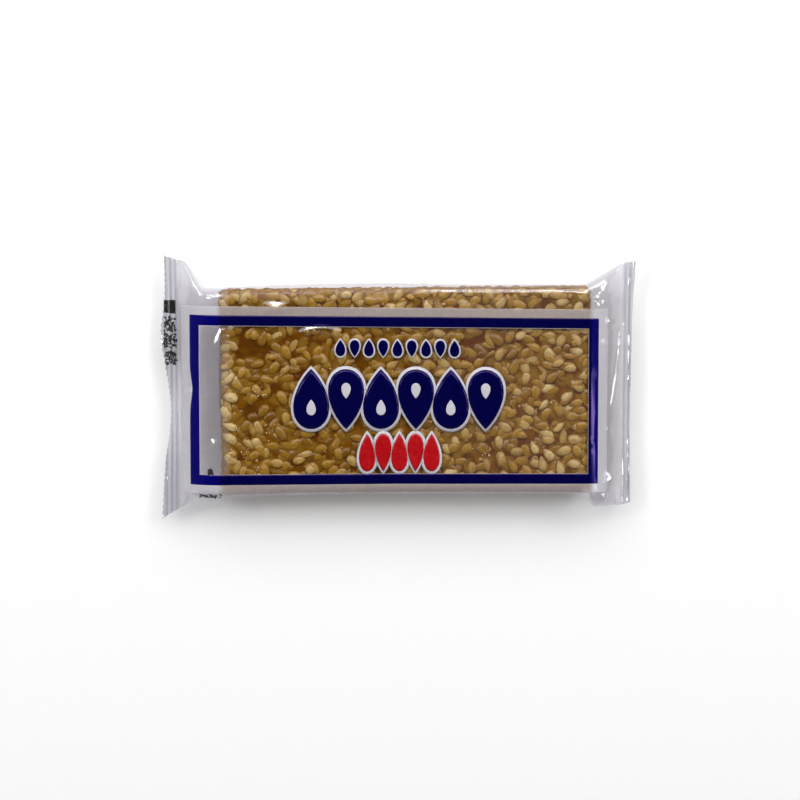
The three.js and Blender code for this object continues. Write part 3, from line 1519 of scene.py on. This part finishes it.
@dataclass
class SliceStack:
    """Four slices of sesame brittle: seeds set in slabs of sugar glass."""

    form: FilmForm
    sugar: SugarGlass = SugarGlass()
    coat: SeedCoat = SeedCoat()
    crumb: SugarCrumb = SugarCrumb()
    # The stack and a slice's outline
    count: int = 4
    length: float = 78.2
    width: float = 42.9
    corner: float = 1.8
    slab: float = 1.75
    pitch: float = 2.36
    bottom: float = 1.18
    middle_x: float = 1.75
    middle_y: float = -0.08
    turn_deg: float = 0.55
    slip: tuple[float, float] = (0.35, 0.08)
    # The sugar: its rounded rim, its grid, its lumps and how it climbs its seeds
    rim: float = 0.55
    fine_step: float = 0.4
    coarse_step: float = 1.0
    wall_layers: int = 4
    lump: float = 0.12
    lumps_per_mm: float = 0.35
    pimple: float = 0.12
    pimples_per_mm: float = 1.1
    pimple_level: float = 5.0
    rim_thickness: float = 0.45
    rim_raggedness: float = 0.8
    meniscus: float = 0.1
    meniscus_at: float = 0.7
    meniscus_run: float = 0.75
    halo: tuple[float, float] = (2.2, 2.0)
    # A seed's size, and how it is turned and tilted
    seed_length: float = 3.6
    seed_width: float = 2.2
    seed_thickness: float = 1.0
    seed_slimming: float = 0.12
    seed_focus: float = 0.6
    seed_turn: float = 0.95
    seed_tilt: tuple[float, float] = (0.12, 0.22)
    seed_size: tuple[float, float] = (1.0, 0.08)
    seed_margin: float = 0.9
    seed_segments: int = 8
    seed_rings: int = 6
    seed_forms: tuple[SeedForm, ...] = (
        SeedForm(0.3, 0.0, 1.0),
        SeedForm(0.18, 0.12, 0.9),
        SeedForm(0.36, -0.1, 1.15),
        SeedForm(0.24, 0.05, 0.75),
    )
    # The seeds on a broad face, from the proud layer down to the sunk one, and its bare patches
    layers: tuple[SeedLayer, ...] = (
        SeedLayer(1.75, (0.46, 0.72), (0.46, 0.66), 0.22),
        SeedLayer(1.6, (0.34, 0.56), (0.34, 0.52), 0.18),
        SeedLayer(1.5, (0.18, 0.4), (0.22, 0.34), 0.14),
    )
    patch: float = 5.0
    bare: tuple[float, float] = (-0.22, -0.45)
    sugar_inset: float = 0.24
    rim_drop: float = 0.55
    rim_run: float = 1.4
    # Where seeds are paler: to the right; at the left end, which is painted glare; in the far strip, which
    # is painted light from the far side
    pale_slope: float = 0.8
    pale_middle: float = 0.2
    pale_end: float = 3.0
    pale_top: float = 14.5
    glare_edge: tuple[Wave, ...] = (Wave(0.7, math.inf, 2.3, 0.0), Wave(0.5, math.inf, 1.1, 1.0))
    glare_run: float = 0.8
    glare_paleness: float = 0.45
    # Painted light: seeds in the far strip along the upper long edge are paler, as if lit from the far
    # side
    far_strip: float = 16.0
    far_light_paleness: float = 0.2
    tries: int = 9000
    # The seeds in the cut edges
    edge_step: float = 1.3
    edge_margins: tuple[float, float] = (1.2, 1.0)
    edge_levels: tuple[float, ...] = (0.26, 0.74)
    edge_stands: tuple[float, float] = (-0.12, 0.06)
    edge_tilt: float = 0.3
    edge_size: tuple[float, float] = (0.95, 0.06)
    edge_stray: float = 0.6
    edge_rise: float = 0.12
    edge_tone: tuple[float, float] = (0.5, 0.2)
    rim_stand: float = 0.05
    film_gap: float = 0.08
    # The crumbs of sugar
    crumb_clusters: int = 34
    crumbs_each: int = 7
    crumb_margin: float = 2.5
    crumb_spread: float = 0.9
    crumb_sizes: tuple[float, float] = (0.12, 0.32)
    crumb_stands: tuple[float, float] = (0.1, 0.3)
    crumb_squash: tuple[float, float] = (0.7, 1.3)
    chance_seed: int = 23
    draw: np.random.Generator = field(init=False)
    half: Array = field(init=False)

    def __post_init__(self) -> None:
        """Start the source of chance and work out half of a slice's length and width."""
        self.draw = np.random.default_rng(self.chance_seed)
        self.half = np.array((self.length / 2, self.width / 2))

    def scattered(self, spacing: float) -> list[SeedSpot]:
        """Scatter seeds over a slice so that none of them lies far over another.

        Args:
            spacing: How far apart the seeds' ends stay.

        Returns:
            Each seed's place and its turn in radians.
        """
        focus = (self.seed_length - self.seed_width) * self.seed_focus
        room = self.half - self.seed_margin
        taken = np.empty((0, 2))
        seeds = []
        for _ in range(self.tries):
            place = self.draw.uniform(-room, room)
            bare = lerp(*self.bare, place[0] / self.length + 0.5)
            seeded = noise.noise(Vector((*(place / self.patch), 0.5))) > bare
            if not seeded and place[0] > self.pale_end - self.half[0]:
                continue
            turn = self.draw.normal(0.0, self.seed_turn) + math.pi * self.draw.integers(2)
            reach = focus * np.array((math.cos(turn), math.sin(turn)))
            ends = np.stack([place - reach, place + reach])
            gaps = np.linalg.norm(taken[:, None] - ends[None], axis=2)
            if gaps.size and gaps.min() < spacing:
                continue
            taken = np.concatenate([taken, ends])
            seeds.append((place[0], place[1], turn))
        return seeds

    def reach(self, seed: Seed, way: Array) -> float:
        """Find how far a seed reaches from its middle in one direction."""
        halves = np.array((self.seed_length, self.seed_thickness, self.seed_width)) / 2 * seed.size
        return float(np.linalg.norm(halves * (seed.axes() @ way)))

    def keep_inside(self, seed: Seed) -> None:
        """Move a seed so that it doesn't stick out past the slice's outline.

        Args:
            seed: The seed, which is changed.
        """
        for axis in (0, 1):
            room = self.half[axis] + self.rim_stand - self.reach(seed, np.eye(3)[axis])
            seed.middle[axis] = np.clip(seed.middle[axis], -room, room)

    def strew(
        self, bed: list[Seed], spots: list[SeedSpot], face: Face, layer: SeedLayer, height: float
    ) -> None:
        """Lay scattered seeds on a slice's broad face.

        Args:
            bed: The slice's seeds, which these join.
            spots: Their places and turns.
            face: Which face.
            layer: The layer that they belong to.
            height: The height of the sugar's face.
        """
        up = np.array((0.0, 0.0, face.value))
        for x, y, turn in spots:
            stands = self.draw.uniform(*layer.stands)
            depth = (self.half - np.abs((x, y))).min()
            stands -= self.rim_drop * share(1 - depth / self.rim_run)
            pitch, roll = self.draw.normal(0, self.seed_tilt)
            rightness = share(x / self.half[0] * self.pale_slope + self.pale_middle)
            paleness = lerp(*layer.paleness, rightness)
            # Painted glare pales the seeds at the left end
            paleness += self.glare_paleness * self.glared(np.array(x), np.array(y))
            # Painted light from the far side pales the seeds in the far strip
            paleness += self.far_light_paleness * (y > self.far_strip)
            tone = self.draw.normal(paleness, layer.spread)
            heading = np.array((math.cos(turn), math.sin(turn), pitch))
            facing = np.array((-math.sin(turn) * roll, math.cos(turn) * roll, face.value))
            size = self.draw.normal(*self.seed_size)
            seed = Seed(np.array((x, y, height)), heading, facing, size, tone)
            seed.middle -= up * (self.reach(seed, up) - stands)
            self.keep_inside(seed)
            bed.append(seed)

    def glared(self, x: Array, y: Array) -> Array:
        """Tell how much painted glare pales a slice's left end, at places on it."""
        edge = self.pale_end + sum(wave.at(x, y) for wave in self.glare_edge) - self.half[0]
        return share((edge - x) / self.glare_run) * (y < self.pale_top)

    def stud_edges(self, bed: list[Seed], low: float) -> None:
        """Set seeds in the four cut edges of a slice.

        Args:
            bed: The slice's seeds, which these join.
            low: The height of the slice's underside.
        """
        first, last = self.edge_margins
        for axis, side in itertools.product((0, 1), (-1, 1)):
            out = np.zeros(3)
            out[1 - axis] = side
            steps = np.arange(first - self.half[axis], self.half[axis] - last, self.edge_step)
            for level, step in itertools.product(self.edge_levels, steps):
                turn = self.draw.uniform(-math.pi, math.pi)
                pitch = self.draw.normal(0, self.edge_tilt)
                heading = np.array((math.cos(turn), math.sin(turn), pitch))
                facing = np.array((*self.draw.normal(0, self.edge_tilt, 2), 1.0))
                size = self.draw.normal(*self.edge_size)
                stands = self.draw.uniform(*self.edge_stands)
                seed = Seed(np.zeros(3), heading, facing, size)
                seed.middle = out * (self.half[1 - axis] + (stands - self.reach(seed, out)))
                seed.middle[axis] = step + self.draw.uniform(-self.edge_stray, self.edge_stray)
                rise = self.draw.uniform(-self.edge_rise, self.edge_rise)
                seed.middle[2] = low + self.slab * (level + rise)
                self.keep_inside(seed)
                seed.tone = self.draw.normal(*self.edge_tone)
                bed.append(seed)

    def placed(self, points: Array, shift: Array) -> Array:
        """Turn and move a slice's points into the stack.

        Args:
            points: Points around the slice's own middle.
            shift: How far this slice has slipped along the pack and across it.

        Returns:
            The points in the pack.
        """
        turn = math.radians(self.turn_deg)
        x = points[:, 0] * math.cos(turn) - points[:, 1] * math.sin(turn)
        y = points[:, 0] * math.sin(turn) + points[:, 1] * math.cos(turn)
        x += self.middle_x + shift[0]
        y += self.middle_y + shift[1]
        return np.stack([x, y, points[:, 2]], axis=1)

    def rounded_corners(self, flat: Array) -> Array:
        """Draw in points near the slice's four corners.

        Args:
            flat: Places on the slice.

        Returns:
            The places, with the corners rounded off.
        """
        past = np.maximum(np.abs(flat) - (self.half - self.corner), 0)
        far = np.linalg.norm(past, axis=1)
        drawn_in = np.where(far > 0, past.max(axis=1) / np.maximum(far, TINY), 1.0)
        return np.sign(flat) * (np.abs(flat) - past + past * drawn_in[:, None])

    def relief(self, flat: Array, low: float) -> Array:
        """Find how lumpy the sugar is.

        Args:
            flat: Places on the slice.
            low: The height of its underside, which sets each slice's own lumps.

        Returns:
            Lumps and pimples as heights.
        """
        lumps = [noise.noise(Vector((*place, low))) for place in flat * self.lumps_per_mm]
        level = low + self.pimple_level
        pimples = [noise.noise(Vector((*place, level))) for place in flat * self.pimples_per_mm]
        return self.lump * np.array(lumps) + self.pimple * np.array(pimples)

    def slab_piece(
        self,
        name: str,
        low: float,
        shift: Array,
        beds: dict[Face, list[SeedSpot]],
        below: list[SeedSpot],
    ) -> bpy.types.Object:
        """Build one slab of sugar, lifted a little around its proud seeds.

        Args:
            name: The piece's name.
            low: The height of its underside.
            shift: How far it has slipped.
            beds: The proud seeds on each face that shows.
            below: The seeds that lie just under its faces.

        Returns:
            The piece.
        """
        step = self.fine_step if beds else self.coarse_step
        shape = gridded_box(round(self.length / step), round(self.width / step), self.wall_layers)
        marks = np.zeros(len(shape.verts))

        def onto_slab(box: Array) -> Array:
            """Move a box's points onto the slab and mark where seeds lie just below and where painted
            glare pales its left end.

            Args:
                box: Points of a box whose sides run from -1 to 1.

            Returns:
                The slab's points in the pack.
            """
            flat = box[:, :2] * self.half
            depth = (self.half - np.abs(flat)).min(axis=1)
            relief = self.relief(flat, low)
            round_off = np.sqrt(1 - share(1 - depth / self.rim) ** 2)
            z = low + self.slab / 2 * (1 + box[:, 2] * lerp(self.rim_thickness, 1.0, round_off))
            z += relief * box[:, 2] * (np.abs(box[:, 2]) > 1 - SAME)
            start, fall = self.halo
            for face, seeds in beds.items():
                here = np.flatnonzero(box[:, 2] * face.value > 1 - SAME)
                lift = np.zeros(len(here))
                for seed in seeds:
                    away = self.seed_distance(flat[here], seed)
                    lift = np.maximum(lift, bell((away - self.meniscus_at) / self.meniscus_run))
                z[here] += self.meniscus * lift * face.value
                for seed in below:
                    away = self.seed_distance(flat[here], seed)
                    marks[here] = np.maximum(marks[here], smoothstep(share(start - fall * away)))
                # Painted glare: the sugar at the left end is marked pale as well
                marks[here] = np.maximum(marks[here], self.glared(*flat[here].T))
            ragged = (self.rim_raggedness * relief * (depth < self.rim))[:, None]
            flat = self.rounded_corners(flat) + np.sign(flat) * ragged
            flat *= 1 - self.sugar_inset / self.half
            return self.placed(np.column_stack([flat, z]), shift)

        piece = stored(name, shape, onto_slab)
        mark_points(piece, SEEDS_BELOW_AND_GLARE, marks)
        return piece

    def seed_distance(self, flat: Array, seed: SeedSpot) -> Array:
        """Find how far places are from a seed's middle, as shares of its reach that way.

        Args:
            flat: The places.
            seed: The seed's place and its turn in radians.

        Returns:
            The distances, which are 1 on the seed's outline.
        """
        x, y, turn = seed
        off_x, off_y = flat[:, 0] - x, flat[:, 1] - y
        along = (off_x * math.cos(turn) + off_y * math.sin(turn)) / (self.seed_length / 2)
        across = (off_y * math.cos(turn) - off_x * math.sin(turn)) / (self.seed_width / 2)
        return np.hypot(along, across)

    def seed_shape(self, form: SeedForm) -> tuple[Array, list[list[int]]]:
        """Shape one seed: a flattened drop, round at one end and pointed at the other.

        Args:
            form: The seed's form.

        Returns:
            Its points in millimetres, with its tip towards +X and its broad side up, and its faces.
        """
        shape = bmesh.new()
        bmesh.ops.create_uvsphere(
            shape, u_segments=self.seed_segments, v_segments=self.seed_rings, radius=1.0
        )
        ball = np.array([vert.co for vert in shape.verts])
        faces = [[vert.index for vert in face.verts] for face in shape.faces]
        shape.free()
        tip = ball[:, 2]
        slim = 1 - form.taper * tip - self.seed_slimming * tip * tip
        side = ball[:, 0] * slim + form.bend * (1 - tip * tip)
        rise = ball[:, 1] * slim * form.plumpness
        size = np.array((self.seed_length, self.seed_width, self.seed_thickness)) / 2
        return np.column_stack([tip, side, rise]) * size, faces

    def seed_piece(self, name: str, bed: list[Seed], shift: Array) -> bpy.types.Object:
        """Build a slice's seeds as one joined piece, with their tones, tips and heights marked.

        Args:
            name: The piece's name.
            bed: The seeds.
            shift: How far the slice has slipped.

        Returns:
            The piece.
        """
        shapes = [self.seed_shape(form) for form in self.seed_forms]
        faces = shapes[0][1]
        picks = self.draw.integers(len(shapes), size=len(bed))
        points = np.stack([shape for shape, _ in shapes])[picks]
        axes = np.stack([seed.axes()[[0, 2, 1]] * seed.size for seed in bed])
        middles = self.placed(np.array([seed.middle for seed in bed]), shift)
        joined = np.einsum("npk,nkc->npc", points, axes) + middles[:, None]
        count, each = joined.shape[:2]
        joined = self.form.pressed(joined.reshape(-1, 3), self.film_gap)
        mesh = bpy.data.meshes.new(name)
        starts = range(0, count * each, each)
        all_faces = [[corner + start for corner in face] for start in starts for face in faces]
        mesh.from_pydata((joined * MM).tolist(), [], all_faces)
        piece = linked(name, mesh)
        tones = share(np.array([seed.tone for seed in bed]))[:, None].repeat(each, 1)
        tips = points[:, :, 0] / self.seed_length + 0.5
        heights = points[:, :, 2] / self.seed_thickness + 0.5
        mark_points(piece, SEED_MARKS, tones, tips, heights)
        return piece

    def crumb_piece(self, name: str, height: float, face: Face, shift: Array) -> bpy.types.Object:
        """Build the crumbs of sugar that cling to a slice's broad face in clusters.

        Args:
            name: The piece's name.
            height: The height of the sugar's face.
            face: Which face.
            shift: How far the slice has slipped.

        Returns:
            The piece.
        """
        shape = bmesh.new()
        room = self.half - self.crumb_margin
        for _ in range(self.crumb_clusters):
            cluster = self.draw.uniform(-room, room)
            for _ in range(self.crumbs_each):
                x, y = cluster + self.draw.normal(0, self.crumb_spread, 2)
                size = self.draw.uniform(*self.crumb_sizes)
                z = height + face.value * self.draw.uniform(*self.crumb_stands)
                crumb = bmesh.ops.create_icosphere(shape, subdivisions=1, radius=size)["verts"]
                bmesh.ops.scale(shape, vec=self.draw.uniform(*self.crumb_squash, 3), verts=crumb)
                bmesh.ops.translate(shape, vec=(x, y, z), verts=crumb)
        return stored(name, shape, lambda points: self.placed(points, shift))

    def build(self) -> list[bpy.types.Object]:
        """Build and dress the slices.

        Returns:
            The pieces.
        """
        sugar, coat, crumb = self.sugar.build(), self.coat.build(), self.crumb.build()
        pieces = []
        for i in range(self.count):
            name = f"slice_{i + 1}"
            low = self.bottom + i * self.pitch
            shift = self.draw.uniform(-1, 1, 2) * self.slip * (i < self.count - 1)
            shown = {0: Face.BOTTOM, self.count - 1: Face.TOP}.get(i)
            bed, beds, below = [], {}, []
            if shown is not None:
                height = low + self.slab * (shown is Face.TOP)
                spots = [self.scattered(layer.spacing) for layer in self.layers]
                for layer, layer_spots in zip(self.layers, spots):
                    self.strew(bed, layer_spots, shown, layer, height)
                beds[shown] = spots[0]
                below = self.scattered(self.layers[-1].spacing)
                crumbs = self.crumb_piece(f"{name}_crumbs", height, shown, shift)
                pieces.append(settle(crumbs, crumb, Slot.BRITTLE))
            self.stud_edges(bed, low)
            slab = self.slab_piece(f"{name}_sugar", low, shift, beds, below)
            pieces.append(settle(slab, sugar, Slot.BRITTLE))
            seeds = self.seed_piece(f"{name}_seeds", bed, shift)
            pieces.append(settle(seeds, coat, Slot.BRITTLE))
        return pieces


# The studio


@dataclass(frozen=True)
class Softbox:
    """A light that looks at the pack: its place, its width and height and its power in watts."""

    name: str
    place: tuple[float, float, float]
    size: tuple[float, float]
    watts: float
    glints_only: bool = False

    def hang(self) -> None:
        """Hang the light. One for glints only is mirrored in the film and lights nothing."""
        light = bpy.data.lights.new(self.name, "AREA")
        light.shape = "RECTANGLE"
        light.size, light.size_y = (side * MM for side in self.size)
        light.energy = self.watts
        lamp = bpy.data.objects.new(self.name, light)
        lamp.visible_diffuse = not self.glints_only
        lamp.location = Vector(self.place) * MM
        lamp.rotation_euler = (-lamp.location).to_track_quat("-Z", "Y").to_euler()
        bpy.context.scene.collection.objects.link(lamp)


@dataclass
class Studio:
    """The floor, the lights and the camera."""

    # The photo's frame and the camera
    photo_px: int = 800
    px_per_mm: float = 4.70
    aim_px: tuple[float, float] = (397.5, 388.0)
    aim_mm: tuple[float, float, float] = (0.0, 0.0, 5.5)
    distance: float = 500.0
    tilt_deg: float = 5.0
    sensor: float = 36.0
    clip_start: float = 10.0
    # The floor, the light tent with its open top, and the softboxes
    floor_size: float = 1600.0
    floor_parts: int = 8
    tent: float = 0.28
    tent_gap: float = 0.02
    tent_rim: tuple[float, float] = (0.8, 0.55)
    softboxes: tuple[Softbox, ...] = (
        Softbox("far_softbox", (0, 620, 680), (1500, 800), 8.5),
        Softbox("near_softbox", (0, -800, 620), (900, 420), 0.15),
        Softbox("left_lamp", (-430, 140, 520), (130, 130), 1.1),
        Softbox("right_lamp", (430, -70, 520), (26, 150), 0.26),
        Softbox("corner_lamp", (350, 300, 450), (200, 200), 0.9),
        Softbox("arc_panel", (-90, 420, 520), (200, 120), 1.15, True),
        Softbox("edge_panel", (170, 420, 520), (260, 60), 0.7, True),
        Softbox("far_left_panel", (-290, 420, 520), (110, 100), 0.5, True),
        Softbox("right_panel", (660, 115, 450), (200, 280), 1.4, True),
    )

    def build(self) -> None:
        """Set up the studio."""
        self.lay_floor()
        self.hang_lights()
        self.place_camera()

    def lay_floor(self) -> None:
        """Lay the paper floor just under the pack."""
        shape = bmesh.new()
        parts = self.floor_parts
        bmesh.ops.create_grid(shape, x_segments=parts, y_segments=parts, size=self.floor_size / 2)
        floor = stored("floor", shape)
        floor.data.materials.append(StudioPaper().build())
        floor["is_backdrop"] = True

    def hang_lights(self) -> None:
        """Light the pack from all sides but straight above, so that its face stays clear."""
        world = bpy.data.worlds.new("studio")
        world.use_nodes = True
        tree = world.node_tree
        tree.nodes.clear()
        way = add_node(tree, "TexCoord").outputs["Generated"]
        height = add_node(tree, "SeparateXYZ", {"Vector": way}).outputs["Z"]
        gap, cloth = self.tent_rim
        span = {"Value": height, "From Min": gap, "From Max": cloth}
        tent = add_node(tree, "MapRange", {**span, "To Min": self.tent_gap, "To Max": self.tent})
        light = add_node(tree, "Background", {"Color": linear("#ffffff"), "Strength": tent})
        add_node(tree, "OutputWorld", {"Surface": light})
        bpy.context.scene.world = world
        bpy.context.scene.view_settings.view_transform = "Standard"
        for softbox in self.softboxes:
            softbox.hang()

    def place_camera(self) -> None:
        """Place the camera above the pack, tilted a little towards its upper long side."""
        tilt = math.radians(self.tilt_deg)
        back = Vector((0, math.sin(tilt), math.cos(tilt)))
        up = Vector((0, math.cos(tilt), -math.sin(tilt)))
        middle_px = self.photo_px / 2
        right_mm = (middle_px - self.aim_px[0]) / self.px_per_mm
        up_mm = (self.aim_px[1] - middle_px) / self.px_per_mm
        aim = Vector(self.aim_mm) + Vector((right_mm, 0, 0)) + up * up_mm
        data = bpy.data.cameras.new("camera")
        data.sensor_width = self.sensor
        data.lens = self.sensor * self.distance * self.px_per_mm / self.photo_px
        data.clip_start = self.clip_start * MM
        camera = bpy.data.objects.new("camera", data)
        camera.location = (aim + back * self.distance) * MM
        camera.rotation_euler = (-tilt, 0, 0)
        bpy.context.scene.collection.objects.link(camera)
        bpy.context.scene.camera = camera


def write_sizes() -> None:
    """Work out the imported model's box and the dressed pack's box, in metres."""
    boxes = {
        name: [[float(number) for number in corner] for corner in box]
        for name, box in (("cad", CAD_BOX), ("visual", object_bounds()))
    }


def main() -> None:
    """Build the pack from the inside out, then the studio around it."""
    logging.basicConfig(level=logging.INFO, format="%(name)s %(message)s")
    form = FilmForm()
    for assembly in (SliceStack(form), Wrapper(form), FilmPrint(form)):
        for piece in assembly.build():
            log.info("%s: %d faces", piece.name, len(piece.data.polygons))
    Studio().build()
    write_sizes()


if __name__ == "__main__":
    main()
